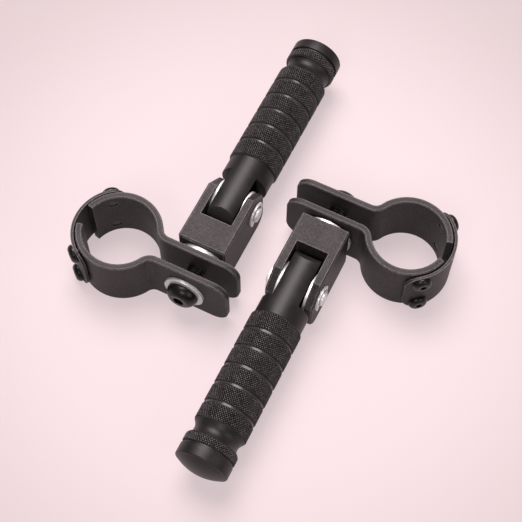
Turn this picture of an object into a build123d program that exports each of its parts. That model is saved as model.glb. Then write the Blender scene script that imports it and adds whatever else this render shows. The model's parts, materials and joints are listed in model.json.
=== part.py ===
from build123d import *
import math
import os

os.makedirs("parts", exist_ok=True)

# A pair of folding foot pegs on split bar clamps, lying on the clamps' edges as they come out of the box.
# Each assembly is modelled once, as the left one. The right one is the left turned half a turn about Z.
# In the left assembly the clamp's ears run along +X and the clamp bolt and the peg run along +Y.

# Place of the left clamp from the shared origin: where its ears end, just short of the middle, and its ring
ear_end_x = -1.5
ring_y = 31.4

# Bar clamp: two bent straps round a 1-1/2 inch bar
bar_d = 38.1
strap_t = 3.4
strap_w = 34.0
split_angle = 15.0
ear_gap = 9.2
bolt_reach = 41.0
ear_past_bolt = 24.0
ear_corner_r = 9.0
bend_r = 5.0
strap_edge = 0.5

# Band that joins the two straps round the back of the ring
band_t = 1.5
band_w = 32.0
band_half_angle = 70.0
band_corner_r = 8.5
band_standoff = 0.9

# Button head screws that hold the band
screw_d = 5.0
screw_hole_clearance = 0.3
screw_tip_gap = 0.4
screw_head_d = 10.0
screw_head_h = 2.8
screw_hex = 3.0
screw_hex_depth = 1.5
screw_from_band_end = 20.0
screw_from_band_edge = 5.5

# Shape of every button head, as shares of its height or its diameter
button_rim = 0.25
button_bulge = 0.72
button_bulge_r = 0.43
button_flat_r = 0.3

# Clamp bolt and its washers
bolt_d = 9.5
bolt_hole_clearance = 0.3
bolt_head_d = 16.8
bolt_head_h = 5.6
bolt_hex = 5.6
bolt_hex_depth = 3.2
bolt_grip = 13.0
head_washer_d = 22.0
head_washer_t = 1.9
lock_washer_d = 20.6
lock_washer_t = 0.9
spacer_washer_d = 24.0
spacer_washer_t = 2.3
washer_edge = 0.2

# Clevis block
clevis_w = 26.6
clevis_h = 33.2
clevis_base = 16.4
slot_w = 17.4
pin_from_slot_floor = 18.0
clevis_edge = 0.8
cheek_reach = 10.2
cheek_corner_r = 8.0
thread_clearance = 0.05
bolt_tip_room = 1.0

# Hinge pin, its clips and the thrust washers beside the tongue. The pin lies above the middle of the clevis.
pin_lift = 3.4
pin_d = 7.9
pin_cheek_clearance = 0.05
pin_running_clearance = 0.07
pin_overhang = 2.5
pin_edge = 0.5
clip_t = 1.0
clip_d = 14.0
clip_rim = 1.7
clip_opening = 84.0
clip_lug_w = 2.6
clip_side_gap = 0.1
clip_groove_depth = 0.8
clip_groove_clearance = 0.05
thrust_washer_d = 21.0
thrust_washer_t = 1.2
thrust_hole_clearance = 0.2
thrust_side_clearance = 0.25

# Peg: tongue and shank
shank_d = 26.0
shoulder_reach = 13.8
stop_gap = 0.15
stop_top = -3.0
relief_r = 20.8
toe_edge = 2.5

# Peg: grip with six knurled bands
grip_start = 23.4
grip_d = 27.8
band_pitch = 10.6
band_count = 6
groove_w = 1.3
groove_depth = 0.8
grip_edge = 0.7
grip_end_edge = 1.3

# Peg: waist and end cap
waist_length = 6.2
waist_d = 23.4
waist_shoulder_d = 25.4
cap_d = 28.0
cap_edge = 0.7
cap_ring_length = 5.2
cap_groove_w = 1.1
cap_groove_depth = 0.8
cap_length = 12.4
dome_h = 3.6

# Heights and distances that follow from the sizes above
ring_r = bar_d / 2
ear_reach = bolt_reach + ear_past_bolt
ring_x = ear_reach - ear_end_x
ring_outer_r = ring_r + strap_t
axis_z = strap_w / 2
pin_z = axis_z + pin_lift
ear_inner = ear_gap / 2
ear_outer = ear_inner + strap_t
bolt_x = bolt_reach - ring_x
head_seat = ear_outer + head_washer_t
lock_face = ear_outer + lock_washer_t
clevis_face = lock_face + spacer_washer_t
slot_floor = clevis_face + clevis_base
pin_reach = slot_floor + pin_from_slot_floor
band_inner_r = ring_outer_r + band_standoff
band_outer_r = band_inner_r + band_t
tongue_t = slot_w - 2 * (thrust_washer_t + thrust_side_clearance)

# ring_plane has the ring's axis as its normal. bolt_plane looks along the bolt, from the middle of the ear gap.
ring_plane = Plane(origin=(-ring_x, -ring_y, 0))
bolt_plane = Plane(origin=(bolt_x, -ring_y, axis_z), x_dir=(1, 0, 0), z_dir=(0, 1, 0))

# side_plane is the side view of the clevis and the peg, centred on the hinge pin: x along the peg, y up.
# peg_plane looks out along the peg from the same point.
pin_point = (bolt_x, pin_reach - ring_y, pin_z)
side_plane = Plane(origin=pin_point, x_dir=(0, 1, 0), z_dir=(1, 0, 0))
peg_plane = Plane(origin=pin_point, x_dir=(1, 0, 0), z_dir=(0, 1, 0))
peg_axis = Axis(pin_point, (0, 1, 0))


def radial_plane(angle, height):
    """A plane on the ring's axis that faces outward at an angle from the ears."""
    outward = (math.cos(math.radians(angle)), math.sin(math.radians(angle)), 0)
    return Plane(origin=(-ring_x, -ring_y, height), x_dir=(0, 0, 1), z_dir=outward)


def export_pair(piece, name):
    """Writes the left piece, then the right one, which is the left piece turned half a turn."""
    for side, turn in (("left", 0), ("right", 180)):
        placed = piece.rotate(Axis.Z, turn)
        placed.label = f"{side}_{name}"
        export_step(placed, f"parts/{side}_{name}.step")


def washer(plane, outer_d, hole_d, thickness):
    """A flat washer that stands on a plane."""
    with BuildPart() as ring:
        with BuildSketch(plane):
            Circle(outer_d / 2)
            Circle(hole_d / 2, mode=Mode.SUBTRACT)
        extrude(amount=thickness)
        chamfer(ring.edges().filter_by(GeomType.CIRCLE), washer_edge)
    return ring.part


def button_screw(diameter, length, head_d, head_h, hex_size, hex_depth):
    """A domed socket screw: its shank ends at the origin and its head is above."""
    head_top = length + head_h
    head_rim = length + head_h * button_rim
    head_bulge = (head_d * button_bulge_r, length + head_h * button_bulge)
    flat_r = head_d * button_flat_r
    with BuildPart() as screw:
        with BuildSketch(Plane.XZ):
            with BuildLine():
                Polyline((0, 0), (diameter / 2, 0), (diameter / 2, length), (head_d / 2, length))
                Line((head_d / 2, length), (head_d / 2, head_rim))
                ThreePointArc((head_d / 2, head_rim), head_bulge, (flat_r, head_top))
                Polyline((flat_r, head_top), (0, head_top), (0, 0))
            make_face()
        revolve(axis=Axis.Z)
        with BuildSketch(Plane.XY.offset(head_top)):
            RegularPolygon(hex_size / 2, 6, major_radius=False)
        extrude(amount=-hex_depth, mode=Mode.SUBTRACT)
    return screw.part


# Clamp strap on the clevis side: half ring, one bend and a flat ear with rounded corners
bend_v = ear_outer + bend_r
bend_u = math.sqrt((ring_outer_r + bend_r) ** 2 - bend_v ** 2)
bend_angle = math.degrees(math.atan2(bend_v, bend_u))
ring_sweep = 180 - split_angle - bend_angle
screw_turn = band_half_angle - screw_from_band_end
screw_rise = band_w / 2 - screw_from_band_edge
screw_angles = (180 - screw_turn, 180 + screw_turn)
screw_heights = (axis_z - screw_rise, axis_z + screw_rise)

with BuildPart() as clevis_side_strap:
    with BuildSketch(ring_plane):
        with BuildLine():
            inner_ring = CenterArc((0, 0), ring_r, bend_angle, ring_sweep)
            outer_ring = CenterArc((0, 0), ring_outer_r, bend_angle, ring_sweep)
            Line(inner_ring @ 1, outer_ring @ 1)
            CenterArc((bend_u, bend_v), bend_r + strap_t, bend_angle + 180, 90 - bend_angle)
            CenterArc((bend_u, bend_v), bend_r, bend_angle + 180, 90 - bend_angle)
            Polyline(
                (bend_u, ear_inner),
                (ear_reach, ear_inner),
                (ear_reach, ear_outer),
                (bend_u, ear_outer),
            )
        make_face()
    extrude(amount=strap_w)
    ear_corners = clevis_side_strap.edges().filter_by(Axis.Y).group_by(Axis.X)[-1]
    fillet(ear_corners, ear_corner_r)
    ear_end = clevis_side_strap.faces().filter_by(Axis.X).sort_by(Axis.X)[-1]
    chamfer(ear_end.edges().filter_by(Axis.Z), strap_edge)
    with BuildSketch(bolt_plane):
        Circle(bolt_d / 2 + bolt_hole_clearance)
    extrude(amount=ear_outer, mode=Mode.SUBTRACT)
    for height in screw_heights:
        with BuildSketch(radial_plane(screw_angles[0], height)):
            Circle(screw_d / 2)
        extrude(amount=ring_outer_r, mode=Mode.SUBTRACT)
export_pair(clevis_side_strap.part, "clevis_side_strap")

# Clamp strap on the bolt head side: the same strap, mirrored across the gap between the ears
with BuildPart() as head_side_strap:
    mirror(clevis_side_strap.part, about=bolt_plane)
export_pair(head_side_strap.part, "head_side_strap")

# Band: a thin curved strip with rounded ends that ties the two straps together behind the ring
corner_turn = math.degrees(math.asin(2 * band_corner_r / (band_inner_r + band_outer_r)))
with BuildPart() as hinge_band:
    with BuildSketch(ring_plane.offset(axis_z - band_w / 2)):
        with BuildLine():
            band_inner = CenterArc((0, 0), band_inner_r, 180 - band_half_angle, 2 * band_half_angle)
            band_outer = CenterArc((0, 0), band_outer_r, 180 - band_half_angle, 2 * band_half_angle)
            Line(band_inner @ 0, band_outer @ 0)
            Line(band_inner @ 1, band_outer @ 1)
        make_face()
    extrude(amount=band_w)
    for end, past_end in ((-1, Align.MIN), (1, Align.MAX)):
        for rim, past_rim in ((-1, Align.MAX), (1, Align.MIN)):
            corner_angle = 180 + end * (band_half_angle - corner_turn)
            corner_height = axis_z + rim * (band_w / 2 - band_corner_r)
            with BuildSketch(radial_plane(corner_angle, corner_height)):
                Rectangle(2 * band_corner_r, 2 * band_corner_r, align=(past_rim, past_end))
                Circle(band_corner_r, mode=Mode.SUBTRACT)
            extrude(amount=band_outer_r + band_t, mode=Mode.SUBTRACT)
    for angle in screw_angles:
        for height in screw_heights:
            with BuildSketch(radial_plane(angle, height)):
                Circle(screw_d / 2 + screw_hole_clearance)
            extrude(amount=band_outer_r + band_t, mode=Mode.SUBTRACT)
export_pair(hinge_band.part, "hinge_band")

# Band screws: two stacked pairs, threaded into the straps and ending just short of the bore
screw_length = band_outer_r - ring_r - screw_tip_gap
band_screw = button_screw(screw_d, screw_length, screw_head_d, screw_head_h, screw_hex, screw_hex_depth)
screw_seats = [
    radial_plane(angle, height).offset(ring_r + screw_tip_gap)
    for angle in screw_angles
    for height in screw_heights
]
with BuildPart() as band_screws:
    with Locations(*screw_seats):
        add(band_screw)
export_pair(band_screws.part, "band_screws")

# Clamp bolt: it pulls the ears together and threads into the clevis, which swivels about it
bolt_tip = clevis_face + bolt_grip
bolt_length = bolt_tip + head_seat
clamp_bolt_shape = button_screw(bolt_d, bolt_length, bolt_head_d, bolt_head_h, bolt_hex, bolt_hex_depth)
bolt_seat = Plane(origin=(bolt_x, bolt_tip - ring_y, axis_z), x_dir=(1, 0, 0), z_dir=(0, -1, 0))
with BuildPart() as clamp_bolt:
    with Locations(bolt_seat):
        add(clamp_bolt_shape)
export_pair(clamp_bolt.part, "clamp_bolt")

# Washers on the bolt, from its head to the clevis
washer_hole_d = bolt_d + 2 * bolt_hole_clearance
head_washer = washer(bolt_plane.offset(-head_seat), head_washer_d, washer_hole_d, head_washer_t)
lock_washer = washer(bolt_plane.offset(ear_outer), lock_washer_d, washer_hole_d, lock_washer_t)
spacer_washer = washer(bolt_plane.offset(lock_face), spacer_washer_d, washer_hole_d, spacer_washer_t)
export_pair(head_washer, "head_washer")
export_pair(lock_washer, "lock_washer")
export_pair(spacer_washer, "spacer_washer")

# Clevis: a solid base that takes the bolt, and two cheeks that carry the hinge pin.
# Each cheek slopes down at 45 degrees from above the pin to its end, and its lower corner is rounded.
clevis_top = clevis_h / 2 - pin_lift
clevis_bottom = clevis_top - clevis_h
clevis_back = -clevis_base - pin_from_slot_floor
with BuildPart() as clevis:
    with BuildSketch(side_plane) as cheek_outline:
        with BuildLine():
            Polyline(
                (clevis_back, clevis_bottom),
                (cheek_reach, clevis_bottom),
                (cheek_reach, clevis_top - cheek_reach),
                (0, clevis_top),
                (clevis_back, clevis_top),
                (clevis_back, clevis_bottom),
            )
        make_face()
        fillet(cheek_outline.vertices().group_by(Axis.Y)[0].sort_by(Axis.X)[-1], cheek_corner_r)
    extrude(amount=clevis_w / 2, both=True)
    side_outlines = clevis.faces().filter_by(Axis.X).edges()
    back_edges = clevis.faces().sort_by(Axis.Y)[0].edges().filter_by(Axis.X)
    chamfer(side_outlines + back_edges, clevis_edge)
    with BuildSketch(side_plane):
        with Locations((-pin_from_slot_floor, 0)):
            Rectangle(pin_from_slot_floor + clevis_h, 2 * clevis_h, align=(Align.MIN, Align.CENTER))
    extrude(amount=slot_w / 2, both=True, mode=Mode.SUBTRACT)
    with BuildSketch(side_plane):
        Circle(pin_d / 2 + pin_cheek_clearance)
    extrude(amount=clevis_w, both=True, mode=Mode.SUBTRACT)
    with BuildSketch(bolt_plane.offset(clevis_face)):
        Circle(bolt_d / 2 + thread_clearance)
    extrude(amount=bolt_grip + bolt_tip_room, mode=Mode.SUBTRACT)
export_pair(clevis.part, "clevis")

# Hinge pin: a plain pin across the cheeks with a groove for a clip near each end
clip_seat = clevis_w / 2 + clip_side_gap
pin_half = clevis_w / 2 + pin_overhang
clip_inner_r = pin_d / 2 - clip_groove_depth + clip_groove_clearance
with BuildPart() as hinge_pin:
    with BuildSketch(side_plane):
        Circle(pin_d / 2)
    extrude(amount=pin_half, both=True)
    chamfer(hinge_pin.edges().filter_by(GeomType.CIRCLE), pin_edge)
    for seat, width in ((clip_seat, clip_t), (-clip_seat, -clip_t)):
        with BuildSketch(side_plane.offset(seat)):
            Circle(pin_d)
            Circle(pin_d / 2 - clip_groove_depth, mode=Mode.SUBTRACT)
        extrude(amount=width, mode=Mode.SUBTRACT)
export_pair(hinge_pin.part, "hinge_pin")

# Pin clips: open spring rings with three inner lugs that sit in the pin's grooves, open side down
with BuildPart() as pin_clips:
    for seat, width in ((clip_seat, clip_t), (-clip_seat, -clip_t)):
        with BuildSketch(side_plane.offset(seat)):
            Circle(clip_d / 2)
            Circle(clip_d / 2 - clip_rim, mode=Mode.SUBTRACT)
            with PolarLocations(0, 3, start_angle=-30, angular_range=360):
                with Locations((clip_d / 4 + clip_inner_r / 2, 0)):
                    Rectangle(clip_d / 2 - clip_inner_r - clip_rim / 2, clip_lug_w)
            Circle(clip_inner_r, mode=Mode.SUBTRACT)
            with BuildLine():
                mouth = math.radians(clip_opening / 2)
                mouth_x = clip_d * math.tan(mouth)
                Polyline((0, 0), (-mouth_x, -clip_d), (mouth_x, -clip_d), (0, 0))
            make_face(mode=Mode.SUBTRACT)
        extrude(amount=width)
export_pair(pin_clips.part, "pin_clips")

# Thrust washers: bright discs on the pin between the tongue and each cheek
thrust_hole_d = pin_d + 2 * thrust_hole_clearance
with BuildPart() as thrust_washers:
    for cheek, width in ((slot_w / 2, -thrust_washer_t), (-slot_w / 2, thrust_washer_t)):
        with BuildSketch(side_plane.offset(cheek)):
            Circle(thrust_washer_d / 2)
            Circle(thrust_hole_d / 2, mode=Mode.SUBTRACT)
        extrude(amount=width)
export_pair(thrust_washers.part, "thrust_washers")

# Foot peg: one turned bar. Its outline is drawn along the peg, with distances counted from the hinge pin.
shank_r = shank_d / 2
grip_r = grip_d / 2
cap_r = cap_d / 2
tongue_end = stop_gap - pin_from_slot_floor
grip_end = grip_start + band_pitch * band_count
waist_mid = grip_end + waist_length / 2
cap_start = grip_end + waist_length
cap_end = cap_start + cap_length
waist_shoulder_r = waist_shoulder_d / 2
dome_rim_r = cap_r - cap_edge
dome_r = (dome_rim_r ** 2 + dome_h ** 2) / (2 * dome_h)
dome_angle = math.degrees(math.asin(dome_rim_r / dome_r))

with BuildPart() as foot_peg:
    with BuildSketch(side_plane):
        with BuildLine():
            Polyline(
                (tongue_end, 0),
                (tongue_end, shank_r),
                (grip_start, shank_r),
                (grip_start, grip_r - grip_edge),
                (grip_start + grip_edge, grip_r),
                (grip_end - grip_end_edge, grip_r),
                (grip_end, waist_shoulder_r),
            )
            ThreePointArc(
                (grip_end, waist_shoulder_r),
                (waist_mid, waist_d / 2),
                (cap_start, waist_shoulder_r),
            )
            Polyline(
                (cap_start, waist_shoulder_r),
                (cap_start, cap_r - cap_edge),
                (cap_start + cap_edge, cap_r),
                (cap_end - cap_edge, cap_r),
            )
            CenterArc((cap_end - cap_edge, dome_rim_r), cap_edge, 0, 90)
            CenterArc((cap_end + dome_h - dome_r, 0), dome_r, 0, dome_angle)
            Line((cap_end + dome_h, 0), (tongue_end, 0))
        make_face()
    revolve(axis=peg_axis)

    # Grooves between the knurled bands, and the one round the cap
    grooves = [(grip_start + band_pitch * n, groove_w, groove_depth, grip_r) for n in range(1, band_count)]
    grooves.append((cap_start + cap_ring_length + cap_groove_w / 2, cap_groove_w, cap_groove_depth, cap_r))
    for middle, width, depth, radius in grooves:
        with BuildSketch(peg_plane.offset(middle - width / 2)):
            Circle(radius + depth)
            Circle(radius - depth, mode=Mode.SUBTRACT)
        extrude(amount=width, mode=Mode.SUBTRACT)

    # Two milled flats leave the tongue, and its end is relieved above so that it clears the slot floor
    for flat, width in ((tongue_t / 2, shank_d), (-tongue_t / 2, -shank_d)):
        with BuildSketch(side_plane.offset(flat)):
            with Locations((shoulder_reach, 0)):
                Rectangle(2 * shank_d, 2 * shank_d, align=(Align.MAX, Align.CENTER))
        extrude(amount=width, mode=Mode.SUBTRACT)
    with BuildSketch(side_plane):
        with Locations((tongue_end, stop_top)):
            Rectangle(relief_r, shank_d, align=(Align.MIN, Align.MIN))
        with Locations((tongue_end + relief_r, stop_top)):
            Circle(relief_r, mode=Mode.SUBTRACT)
    extrude(amount=shank_d, both=True, mode=Mode.SUBTRACT)
    with BuildSketch(side_plane):
        with BuildLine():
            Polyline(
                (tongue_end - toe_edge, -shank_r),
                (tongue_end, toe_edge - shank_r),
                (tongue_end + toe_edge, -shank_r),
                (tongue_end, -shank_r - toe_edge),
                (tongue_end - toe_edge, -shank_r),
            )
        make_face()
    extrude(amount=shank_d, both=True, mode=Mode.SUBTRACT)
    with BuildSketch(side_plane):
        Circle(pin_d / 2 + pin_running_clearance)
    extrude(amount=shank_d, both=True, mode=Mode.SUBTRACT)
export_pair(foot_peg.part, "foot_peg")
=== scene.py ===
import bpy
import bmesh
import json
import math
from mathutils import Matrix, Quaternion, Vector


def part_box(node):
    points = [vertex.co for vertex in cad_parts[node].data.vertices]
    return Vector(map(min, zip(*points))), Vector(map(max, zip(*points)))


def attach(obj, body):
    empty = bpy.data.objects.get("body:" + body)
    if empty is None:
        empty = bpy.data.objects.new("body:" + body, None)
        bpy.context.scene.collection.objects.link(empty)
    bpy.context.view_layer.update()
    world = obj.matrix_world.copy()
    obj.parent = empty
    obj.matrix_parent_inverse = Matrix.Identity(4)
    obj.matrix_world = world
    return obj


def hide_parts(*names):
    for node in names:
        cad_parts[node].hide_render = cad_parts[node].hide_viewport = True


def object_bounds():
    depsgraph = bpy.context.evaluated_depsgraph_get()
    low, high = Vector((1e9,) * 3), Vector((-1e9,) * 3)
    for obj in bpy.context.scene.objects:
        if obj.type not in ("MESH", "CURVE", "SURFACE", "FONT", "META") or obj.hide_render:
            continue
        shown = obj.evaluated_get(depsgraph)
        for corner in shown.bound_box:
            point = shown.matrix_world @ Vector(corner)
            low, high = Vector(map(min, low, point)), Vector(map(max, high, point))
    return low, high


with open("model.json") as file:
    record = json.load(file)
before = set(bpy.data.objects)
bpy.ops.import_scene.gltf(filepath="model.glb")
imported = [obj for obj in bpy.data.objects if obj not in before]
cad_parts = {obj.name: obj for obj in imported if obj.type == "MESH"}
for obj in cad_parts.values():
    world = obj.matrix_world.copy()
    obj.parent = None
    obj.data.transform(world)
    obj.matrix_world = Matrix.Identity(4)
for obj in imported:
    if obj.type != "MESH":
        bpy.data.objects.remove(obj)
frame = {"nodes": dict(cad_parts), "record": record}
cad_low, cad_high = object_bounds()
scene = bpy.context.scene
scene.view_settings.view_transform = "Standard"

# Camera: the photograph's view, from above and in front, a little to the right of the left peg.
# A long lens, level to within a degree.
camera_place = (0.1298, -0.2719, 0.6047)
camera_target = (-0.0017, 0.0002, 0.0)
camera_roll = math.radians(0.52)
sensor = 36.0
focal_pixels = 1272.6
picture_pixels = 522
nearest = 0.02
farthest = 20.0


def add_object(name, data):
    """Puts a mesh, a lamp or the camera in the scene."""
    added = bpy.data.objects.new(name, data)
    scene.collection.objects.link(added)
    return added


def aim(thing, place, target):
    """Stands a lamp or the camera at a place and turns it to a target, held level."""
    thing.location = place
    thing.rotation_mode = "QUATERNION"
    thing.rotation_quaternion = (Vector(target) - Vector(place)).to_track_quat("-Z", "Y")


lens = bpy.data.cameras.new("photo_camera")
lens.sensor_width = sensor
lens.lens = focal_pixels / picture_pixels * sensor
lens.clip_start = nearest
lens.clip_end = farthest
camera = add_object("photo_camera", lens)
aim(camera, camera_place, camera_target)
level_view = camera.rotation_quaternion.copy()
camera.rotation_quaternion = level_view @ Quaternion((0, 0, 1), camera_roll)
scene.camera = camera

# Floor: a plain pale ground in a faint pink, with a painted pool of light round the pair that dims
# to painted shade further out, wide enough to fill every view. It throws little light back up,
# which keeps the blacks deep. The two classes that write its material write all the others too.
mm = 0.001
floor_size = 6.0
floor_drop = 0.2 * mm
floor_painted_pool = (0.87, 0.735, 0.755, 1.0)
floor_painted_dim = (0.68, 0.57, 0.585, 1.0)
floor_bounce = (0.10, 0.09, 0.09, 1.0)
floor_glow = 0.64
painted_pool_reach = 0.09
painted_dim_reach = 0.24


class Value:
    """A shader number that takes part in Python arithmetic. Each operator adds one Math node."""

    def __init__(self, surface, socket):
        self.surface = surface
        self.socket = socket

    def math(self, operation, *others):
        """One Math operation on this number and any others."""
        numbers = dict(enumerate((self, *others)))
        return self.surface.node("ShaderNodeMath", {"operation": operation}, numbers)

    def __abs__(self):
        return self.math("ABSOLUTE")

    def __add__(self, other):
        return self.math("ADD", other)

    def __sub__(self, other):
        return self.math("SUBTRACT", other)

    def __mul__(self, other):
        return self.math("MULTIPLY", other)

    def __rsub__(self, other):
        return self * -1 + other

    __radd__ = __add__
    __rmul__ = __mul__

    def step(self, low, high):
        """0 below low, 1 above high and smooth between them."""
        smooth = {"interpolation_type": "SMOOTHSTEP"}
        limits = {"Value": self, "From Min": low, "From Max": high}
        return self.surface.node("ShaderNodeMapRange", smooth, limits)


class Surface:
    """A material on one Principled shader. Constants go straight on the shader's own sockets."""

    def __init__(self, name, constants=None):
        self.material = bpy.data.materials.new(name)
        self.material.use_nodes = True
        self.tree = self.material.node_tree
        self.shader = self.tree.nodes["Principled BSDF"]
        for label, number in (constants or {}).items():
            self.feed(label, number)
        self.place = self.node("ShaderNodeTexCoord", output="Object")

    def connect(self, slot, item):
        """Gives an input a linked value, or a plain number or colour."""
        if isinstance(item, Value):
            self.tree.links.new(item.socket, slot)
        else:
            slot.default_value = item

    def node(self, kind, settings=None, inputs=None, output=0):
        """Adds any node: its settings first, then its inputs by name or number."""
        added = self.tree.nodes.new(kind)
        for label, setting in (settings or {}).items():
            setattr(added, label, setting)
        for label, item in (inputs or {}).items():
            self.connect(added.inputs[label], item)
        return Value(self, added.outputs[output])

    def vectors(self, operation, *items, output=0):
        """Vector Math on places, directions or plain triples."""
        inputs = dict(enumerate(items))
        return self.node("ShaderNodeVectorMath", {"operation": operation}, inputs, output)

    def axis(self, number):
        """One coordinate of the place on the piece, in millimetres."""
        place = {"Vector": self.place}
        return self.node("ShaderNodeSeparateXYZ", inputs=place, output=number) * (1 / mm)

    def noise(self, scale, detail, place=None):
        """An even mottle between 0 and 1, finer with a larger scale."""
        inputs = {"Vector": place or self.place, "Scale": scale, "Detail": detail}
        return self.node("ShaderNodeTexNoise", inputs=inputs)

    def stretched(self, x, y, z):
        """The place with each axis scaled, for marks that run one way."""
        return self.vectors("MULTIPLY", self.place, (x, y, z))

    def blend(self, factor, low, high):
        """A colour between two colours."""
        inputs = {"Factor": factor, "A": low, "B": high}
        return self.node("ShaderNodeMix", {"data_type": "RGBA"}, inputs, "Result")

    def edges(self, width, lean):
        """1 on a corner and 0 on a flat. Lean is how far rounding turns the faint and full edge."""
        rounded = self.node("ShaderNodeBevel", {"samples": 4}, {"Radius": width})
        flat = self.node("ShaderNodeNewGeometry", output="Normal")
        agreement = self.vectors("DOT_PRODUCT", rounded, flat, output="Value")
        return (1 - agreement).step(*lean)

    def feed(self, label, item):
        """Gives one of the Principled shader's sockets a value, number or colour."""
        self.connect(self.shader.inputs[label], item)

    def bump(self, height, depth):
        """Relief that is too fine for the mesh; depth is in metres."""
        relief = self.node("ShaderNodeBump", inputs={"Height": height, "Distance": depth})
        self.feed("Normal", relief)

    def mix_shader(self, factor, first, second):
        """The first shader where the factor is 0 and the second where it is 1."""
        return self.node("ShaderNodeMixShader", inputs={0: factor, 1: first, 2: second})

    def show(self, shader):
        """Ends the material with another shader than the Principled one."""
        self.connect(self.tree.nodes["Material Output"].inputs["Surface"], shader)


def add_mesh(name, points, faces):
    """A new mesh object from its points and faces."""
    mesh = bpy.data.meshes.new(name)
    mesh.from_pydata(points, [], faces)
    return add_object(name, mesh)


half = floor_size / 2
floor_corners = [(-half, -half, 0), (half, -half, 0), (half, half, 0), (-half, half, 0)]
floor = add_mesh("floor", floor_corners, [(0, 1, 2, 3)])
floor.location.z = cad_low.z - floor_drop

ground = Surface("pale_floor")
reach = ground.vectors("LENGTH", ground.place, output="Value")
# The tint is painted light: bright round the pair and dimming to painted shade towards the corners.
painted_pool_tint = ground.blend(reach.step(painted_pool_reach, painted_dim_reach), floor_painted_pool, floor_painted_dim)
seen = ground.node("ShaderNodeLightPath", output="Is Camera Ray")
mirrored = ground.node("ShaderNodeLightPath", output="Is Glossy Ray")
lit = ground.node("ShaderNodeBsdfDiffuse", inputs={"Color": painted_pool_tint})
glow = ground.node("ShaderNodeEmission", inputs={"Color": painted_pool_tint})
dull = ground.node("ShaderNodeBsdfDiffuse", inputs={"Color": floor_bounce})
pale = ground.mix_shader(floor_glow, lit, glow)
ground.show(ground.mix_shader(seen + mirrored, dull, pale))
floor.data.materials.append(ground.material)

# Light: a large soft lamp high behind the pair, weaker ones in front and low on the right, and a
# faint even light all round. The shadows fall towards the viewer and to the right.
surround_colour = (1.0, 0.97, 0.97, 1.0)
surround_strength = 0.09
lamp_colour = (1.0, 0.91, 0.91)

surround = bpy.data.worlds.new("surround")
surround.use_nodes = True
scene.world = surround
surround_light = surround.node_tree.nodes["Background"]
surround_light.inputs["Color"].default_value = surround_colour
surround_light.inputs["Strength"].default_value = surround_strength


def soft_lamp(name, place, power, size):
    """A square lamp that faces the middle of the pair."""
    light = bpy.data.lights.new(name, "AREA")
    light.energy = power
    light.color = lamp_colour
    light.size = size
    aim(add_object(name, light), place, (0, 0, 0))


soft_lamp("key_lamp", place=(-0.42, 0.55, 1.6), power=40.0, size=1.1)
soft_lamp("front_lamp", place=(0.1, -0.9, 1.1), power=5.0, size=0.5)
soft_lamp("right_lamp", place=(1.2, -0.35, 0.8), power=4.0, size=0.8)


# Straps, hinge bands and clevises: straps and bands are bent from steel plate and strip, and the
# clevises are milled from bar. All are powder coated in satin black, with a fine orange peel, a
# faint cloudiness and a few dull spots. Their edges are painted paler: a painted highlight, partly
# wear.
def grey(level, warmth=0.0):
    """A near-neutral colour, a little warmer with warmth."""
    return (level * (1 + warmth), level, level, 1.0)


def dress(piece, surface):
    """Puts one material on a piece."""
    piece.data.materials.clear()
    piece.data.materials.append(surface.material)


def dress_slot(slot, surface):
    """Puts one material on every solid of a material slot."""
    for part in frame["record"]["subparts"]:
        if part["material_slot"] == slot:
            dress(frame["nodes"][part["node"]], surface)


coat_specular = 0.2
coat_colour = grey(0.016, 0.20)
coat_spot = grey(0.066, 0.16)
coat_highlight_and_wear = grey(0.26, 0.06)
cloud_range = (0.3, 0.7)
dust_range = (0.38, 0.66)
cloud_share = 0.35
edge_width = 0.7 * mm
edge_lean = (0.012, 0.07)
highlight_and_wear_range = (0.3, 0.6)
highlight_and_wear_everywhere = 0.45
coat_roughness = 0.42
cloud_roughness = 0.1
dust_roughness = 0.08
dust_relief = 0.4
peel_depth = 0.18 * mm

coat = Surface("coated_steel", {"Specular IOR Level": coat_specular})
peel = coat.noise(scale=850, detail=3.0)
cloud = coat.noise(scale=60, detail=3.0)
dust = coat.noise(scale=1500, detail=2.0)
spots = cloud.step(*cloud_range) * cloud_share + dust.step(*dust_range) * (1 - cloud_share)
highlight_and_wear = highlight_and_wear_everywhere + dust.step(*highlight_and_wear_range) * (1 - highlight_and_wear_everywhere)
# Paler edges: a painted highlight along every edge, partly wear, stronger where the dust mottle is
# high.
painted_edge_highlight_and_wear = coat.edges(edge_width, edge_lean) * highlight_and_wear
spotted = coat.blend(spots, coat_colour, coat_spot)
coat.feed("Base Color", coat.blend(painted_edge_highlight_and_wear, spotted, coat_highlight_and_wear))
coat.feed("Roughness", coat_roughness + cloud * cloud_roughness + dust * dust_roughness)
coat.bump(peel + dust * dust_relief, peel_depth)
dress_slot("coated_steel", coat)

# Bolts, band screws and lock washers: headed and turned from steel, hardened and finished in black
# oxide. They are a little glossier than the coat, with a fine grain.
oxide_specular = 0.3
oxide_dark = grey(0.004, 0.1)
oxide_light = grey(0.012, 0.08)
oxide_roughness = 0.22
grain_range = (0.35, 0.7)
grain_roughness = 0.16
grain_depth = 0.02 * mm

oxide = Surface("black_oxide", {"Specular IOR Level": oxide_specular})
grain = oxide.noise(scale=1500, detail=3.0)
oxide.feed("Base Color", oxide.blend(grain.step(*grain_range), oxide_dark, oxide_light))
oxide.feed("Roughness", oxide_roughness + grain * grain_roughness)
oxide.bump(grain, grain_depth)
dress_slot("black_fasteners", oxide)

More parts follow.
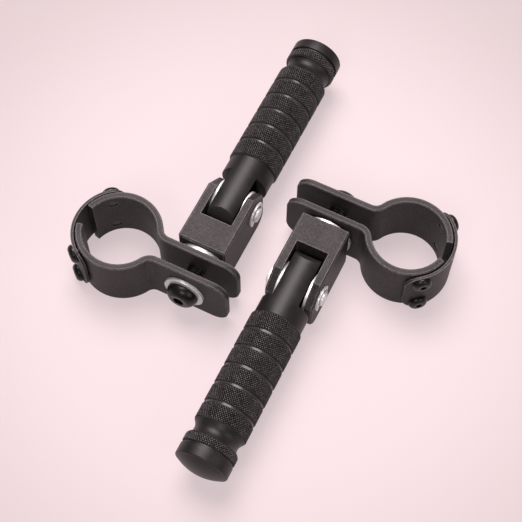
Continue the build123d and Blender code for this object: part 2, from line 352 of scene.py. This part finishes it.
# Bolt threads: the part of each steel clamp bolt that shows between the ears, with a right-hand
# thread rolled on it. It sits on the solid's plain shank and ends in the ears' holes. Sizes are in
# millimetres, and the steepness leaves each crest a narrow flat.
thread_pitch = 1.5
thread_root_r = 4.77
thread_crest_r = 5.02
thread_steepness = 1.25
thread_columns = 48
thread_steps = 8
thread_in_ear = 1.5
for side in ("left", "right"):
    washers = [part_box(side + "_head_washer"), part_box(side + "_lock_washer")]
    (near_low, near_high), (far_low, _) = sorted(washers, key=lambda box: box[0].y)
    start = near_high.y / mm + thread_in_ear
    length = far_low.y / mm - thread_in_ear - start
    bolt_x = (near_low.x + near_high.x) / 2
    bolt_z = (near_low.z + near_high.z) / 2
    rows = round(length / thread_pitch * thread_steps)
    points = []
    for row in range(rows + 1):
        for column in range(thread_columns):
            along = length * row / rows
            phase = (along / thread_pitch - column / thread_columns) % 1
            ridge = min(1.0, thread_steepness * (1 - abs(2 * phase - 1)))
            radius = thread_root_r + (thread_crest_r - thread_root_r) * ridge
            turn = math.tau * column / thread_columns
            across = radius * math.sin(turn) * mm
            up = radius * math.cos(turn) * mm
            points.append((bolt_x + across, (start + along) * mm, bolt_z + up))
    first_ring = range(thread_columns)
    last_ring = range(rows * thread_columns, (rows + 1) * thread_columns)
    faces = [tuple(first_ring), tuple(reversed(last_ring))]
    for row in range(rows):
        for column in range(thread_columns):
            low = row * thread_columns
            high = low + thread_columns
            after = (column + 1) % thread_columns
            faces.append((low + column, high + column, high + after, low + after))
    thread = add_mesh(side + "_bolt_thread", points, faces)
    dress(thread, oxide)
    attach(thread, side + "_clevis_unit")

# Hinge pins, clips and washers: pins cut from bar, clips and washers stamped from steel strip, all
# zinc plated and bright, with fine scratches from fitting.
zinc_metallic = 0.3
zinc_dark = grey(0.93)
zinc_light = grey(0.99)
zinc_roughness = 0.28
mottle_range = (0.3, 0.7)
scratch_stretch = (1.0, 9.0, 1.0)
scratch_roughness = 0.15
scratch_depth = 0.01 * mm

zinc = Surface("bright_steel", {"Metallic": zinc_metallic})
scratch = zinc.noise(700, 4.0, zinc.stretched(*scratch_stretch))
mottle = zinc.noise(scale=300, detail=2.0)
zinc.feed("Base Color", zinc.blend(mottle.step(*mottle_range), zinc_dark, zinc_light))
zinc.feed("Roughness", zinc_roughness + scratch * scratch_roughness)
zinc.bump(scratch, scratch_depth)
dress_slot("bright_steel", zinc)

# Foot pegs: each is turned from one steel bar, knurled, milled to a tongue at the hinge end and
# blackened. The tongue is the solid's own mesh, cut where the grip begins. The grip and cap are
# turned anew, with the knurl, the grooves between its bands and the cap's ring in real relief.

# Sizes in millimetres. Each start and end is a distance from the hinge pin.
grip_start = 23.4
grip_r = 13.9
grip_edge = 0.7
shank_r = 13.0
cut_from_pin = grip_start - 1.0
band_pitch = 10.6
band_count = 6
band_lip = 0.1
groove_w = 1.3
groove_floor = 13.1
end_taper = 1.3
grip_end = grip_start + band_pitch * band_count
waist_length = 6.2
waist_r = 11.7
waist_shoulder_r = 12.7
waist_shares = (0.15, 0.3, 0.5, 0.7, 0.85)
cap_start = grip_end + waist_length
cap_length = 12.4
cap_end = cap_start + cap_length
cap_r = 14.0
cap_edge = 0.7
cap_rim_r = cap_r - cap_edge
cap_rim_turns = (0, 22.5, 45, 67.5, 90)
cap_ring_start = cap_start + 0.8 * cap_edge
cap_ring_length = 5.2
cap_ring_end = cap_start + cap_ring_length
cap_groove_w = 1.1
cap_groove_end = cap_ring_end + cap_groove_w
cap_groove_floor = 13.2
dome_h = 3.6
dome_rings = 15
dome_flat = 0.3

# Two columns and two rows make one diamond. The flat on its tip is a share of a column and a row.
knurl_depth = 0.5
knurl_columns = 130
knurl_row = 0.75
knurl_flat = 0.36
weld_gap = 0.001
sharp_angle = 25

# The finish: smudged black, paler on the knurl's tips, and smooth in the grooves, which are painted
# paler as a painted highlight.
peg_specular = 0.32
peg_dark = grey(0.011, 0.18)
peg_light = grey(0.026, 0.16)
smudge_range = (0.3, 0.7)
smudge_share = 0.6
fleck_range = (0.5, 0.8)
tip_colour = grey(0.17, 0.1)
tip_range = (grip_r - 0.2, grip_r - 0.03)
tip_fleck_range = (0.4, 0.65)
tip_fade = 0.1
groove_painted_highlight = grey(0.04, 0.1)
groove_range = (groove_floor + 0.1, groove_floor + 0.3)
groove_fade = 1.0
last_groove = grip_start + band_pitch * (band_count - 0.5)
peg_roughness = 0.34
smudge_roughness = 0.1
fleck_roughness = 0.06
groove_polish = 0.2
fleck_relief = 0.4
tool_mark_stretch = (0.4, 14.0, 0.4)
tool_mark_depth = 0.03 * mm

peg_steel = Surface("peg_steel", {"Specular IOR Level": peg_specular})
tool_marks = peg_steel.noise(260, 2.0, peg_steel.stretched(*tool_mark_stretch))
smudge = peg_steel.noise(scale=90, detail=3.0)
fleck = peg_steel.noise(scale=2400, detail=1.0)
pin_low, pin_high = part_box("left_hinge_pin")
from_middle = abs(peg_steel.axis(0)) - abs(pin_low.x + pin_high.x) / 2 / mm
over_middle = peg_steel.axis(2) - (pin_low.z + pin_high.z) / 2 / mm
from_axis = (from_middle * from_middle + over_middle * over_middle).math("SQRT")
from_pin = abs(peg_steel.axis(1)) - abs(pin_low.y + pin_high.y) / 2 / mm
on_knurl = 1 - from_pin.step(cap_ring_end - tip_fade, cap_ring_end + tip_fade)
tips = from_axis.step(*tip_range) * fleck.step(*tip_fleck_range) * on_knurl
past_start = from_pin.step(grip_start + groove_fade, grip_start + 2 * groove_fade)
past_last_groove = from_pin.step(last_groove, last_groove + groove_fade)
grooves = (1 - from_axis.step(*groove_range)) * (past_start * (1 - past_last_groove))
smudges = smudge.step(*smudge_range) * smudge_share + fleck.step(*fleck_range) * (1 - smudge_share)
smudged = peg_steel.blend(smudges, peg_dark, peg_light)
tipped = peg_steel.blend(tips, smudged, tip_colour)
# The grooves are painted paler, a painted highlight, and are also made smoother.
peg_steel.feed("Base Color", peg_steel.blend(grooves, tipped, groove_painted_highlight))
roughness = peg_roughness + smudge * smudge_roughness + fleck * fleck_roughness
peg_steel.feed("Roughness", roughness - grooves * groove_polish)
peg_steel.bump(tool_marks + fleck * fleck_relief, tool_mark_depth)

# The grip and cap from the shank outward, as rings (from the pin, radius) and knurled bands
# (start, end, radius in the valleys, radius on the tips).
knurl_root = grip_r - knurl_depth
peg_profile = [(cut_from_pin, shank_r), (grip_start, shank_r), (grip_start, grip_r - grip_edge)]
for band in range(band_count):
    band_start = grip_start + band_pitch * band
    start = band_start + (groove_w if band else grip_edge) / 2 + band_lip
    end = band_start + band_pitch - groove_w / 2 - band_lip
    if band == band_count - 1:
        end = grip_end - end_taper
    if band:
        peg_profile.append((start - band_lip, groove_floor))
    peg_profile.append((start, end, knurl_root, grip_r))
    if band < band_count - 1:
        peg_profile.append((end + band_lip, groove_floor))
peg_profile.append((grip_end, waist_shoulder_r))
for share in waist_shares:
    dip = (waist_shoulder_r - waist_r) * (1 - (2 * share - 1) ** 2)
    peg_profile.append((grip_end + waist_length * share, waist_shoulder_r - dip))
peg_profile += [
    (cap_start, waist_shoulder_r),
    (cap_start, cap_rim_r),
    (cap_ring_start, cap_ring_end - band_lip, cap_r - knurl_depth, cap_r),
    (cap_ring_end, cap_groove_floor),
    (cap_groove_end, cap_groove_floor),
    (cap_groove_end + band_lip, cap_r - band_lip),
    (cap_groove_end + 2 * band_lip, cap_r),
]
for turn in cap_rim_turns:
    inward = cap_edge * (1 - math.sin(math.radians(turn)))
    outward = cap_edge * math.cos(math.radians(turn))
    peg_profile.append((cap_end - inward, cap_rim_r + outward))
dome_r = (cap_rim_r ** 2 + dome_h ** 2) / (2 * dome_h)
rim_slope = math.asin(cap_rim_r / dome_r)
for ring in range(1, dome_rings + 1):
    slope = rim_slope * (1 - ring / (dome_rings + dome_flat))
    height = dome_h - dome_r * (1 - math.cos(slope))
    peg_profile.append((cap_end + height, dome_r * math.sin(slope)))


def turned(name, profile, origin, facing=1, solid_ends=True):
    """A piece turned about Y from its origin, from a profile of rings and knurled bands."""
    points = []
    faces = []

    def point(column, along, radius):
        turn = math.tau * column / knurl_columns
        across = radius * math.sin(turn) * mm
        up = radius * math.cos(turn) * mm
        points.append((origin.x + facing * across, origin.y + facing * (along * mm), origin.z + up))
        return len(points) - 1

    def join(low, high):
        for column in range(knurl_columns):
            after = (column + 1) % knurl_columns
            faces.append((low[column], low[after], high[after], high[column]))

    def knurl(start, end, root, crest):
        """Cut-off pyramids between two crossing sets of valleys, with half ones at the ends."""
        rows = round((end - start) / knurl_row)
        step = (end - start) / rows
        edge_crest = (root + crest) / 2
        grid = [[None] * knurl_columns for _ in range(rows + 1)]
        for row in range(rows + 1):
            for column in range(knurl_columns):
                in_valley = (row + column) % 2
                if in_valley or row in (0, rows):
                    radius = root if in_valley else edge_crest
                    grid[row][column] = point(column, start + row * step, radius)
        for row in range(rows + 1):
            for column in range(row % 2, knurl_columns, 2):
                along = start + row * step
                right = grid[row][(column + 1) % knurl_columns]
                left = grid[row][column - 1]
                up = grid[row + 1][column] if row < rows else None
                down = grid[row - 1][column] if row > 0 else None
                if row in (0, rows):
                    top = [grid[row][column]] * 4
                else:
                    top = [
                        point(column + knurl_flat, along, crest),
                        point(column, along + knurl_flat * step, crest),
                        point(column - knurl_flat, along, crest),
                        point(column, along - knurl_flat * step, crest),
                    ]
                    faces.append(tuple(top))
                around = [right, up, left, down]
                for corner in range(4):
                    after = (corner + 1) % 4
                    if around[corner] is not None and around[after] is not None:
                        flank = [top[corner], around[corner], around[after]]
                        if top[after] != top[corner]:
                            flank.append(top[after])
                        faces.append(tuple(flank))
        return grid[0], grid[rows]

    last = None
    for entry in profile:
        if len(entry) == 2:
            first = final = [point(column, *entry) for column in range(knurl_columns)]
        else:
            first, final = knurl(*entry)
        if last is not None:
            join(last, first)
        elif solid_ends:
            faces.append(tuple(reversed(first)))
        last = final
    if solid_ends:
        faces.append(tuple(last))
    made = add_mesh(name, points, faces)
    solid = bmesh.new()
    solid.from_mesh(made.data)
    bmesh.ops.remove_doubles(solid, verts=solid.verts, dist=weld_gap * mm)
    bmesh.ops.recalc_face_normals(solid, faces=solid.faces)
    solid.to_mesh(made.data)
    solid.free()
    made.data.polygons.foreach_set("use_smooth", [True] * len(made.data.polygons))
    made.data.set_sharp_from_angle(angle=math.radians(sharp_angle))
    return made


for side, facing in (("left", 1), ("right", -1)):
    pin_low, pin_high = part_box(side + "_hinge_pin")
    pin = (pin_low + pin_high) / 2
    tongue_mesh = frame["nodes"][side + "_foot_peg"].data.copy()
    tongue_mesh.name = side + "_peg_tongue"
    cut = bmesh.new()
    cut.from_mesh(tongue_mesh)
    bmesh.ops.bisect_plane(
        cut,
        geom=list(cut.verts) + list(cut.edges) + list(cut.faces),
        plane_co=(0, pin.y + facing * cut_from_pin * mm, 0),
        plane_no=(0, facing, 0),
        clear_outer=True,
    )
    bmesh.ops.holes_fill(cut, edges=[edge for edge in cut.edges if edge.is_boundary])
    cut.to_mesh(tongue_mesh)
    cut.free()
    tongue = add_object(side + "_peg_tongue", tongue_mesh)
    grip = turned(side + "_peg_grip", peg_profile, pin, facing)
    for piece in (tongue, grip):
        dress(piece, peg_steel)
        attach(piece, side + "_peg_unit")
    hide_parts(side + "_foot_peg")

# Clevis washers: the thick bright washer between each clevis and its clamp, punched from plate and
# zinc plated. It is as wide as the photograph shows, a little wider than its solid.
spacer_r = 14.0
spacer_hole_r = 5.1
spacer_edge = 0.25
for side in ("left", "right"):
    low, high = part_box(side + "_spacer_washer")
    middle = (low + high) / 2
    thickness = (high.y - low.y) / mm
    washer_profile = [
        (0, spacer_hole_r),
        (0, spacer_r - spacer_edge),
        (spacer_edge, spacer_r),
        (thickness - spacer_edge, spacer_r),
        (thickness, spacer_r - spacer_edge),
        (thickness, spacer_hole_r),
        (0, spacer_hole_r),
    ]
    seat = Vector((middle.x, low.y, middle.z))
    spacer = turned(side + "_clevis_washer", washer_profile, seat, solid_ends=False)
    dress(spacer, zinc)
    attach(spacer, side + "_clevis_unit")
    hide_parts(side + "_spacer_washer")
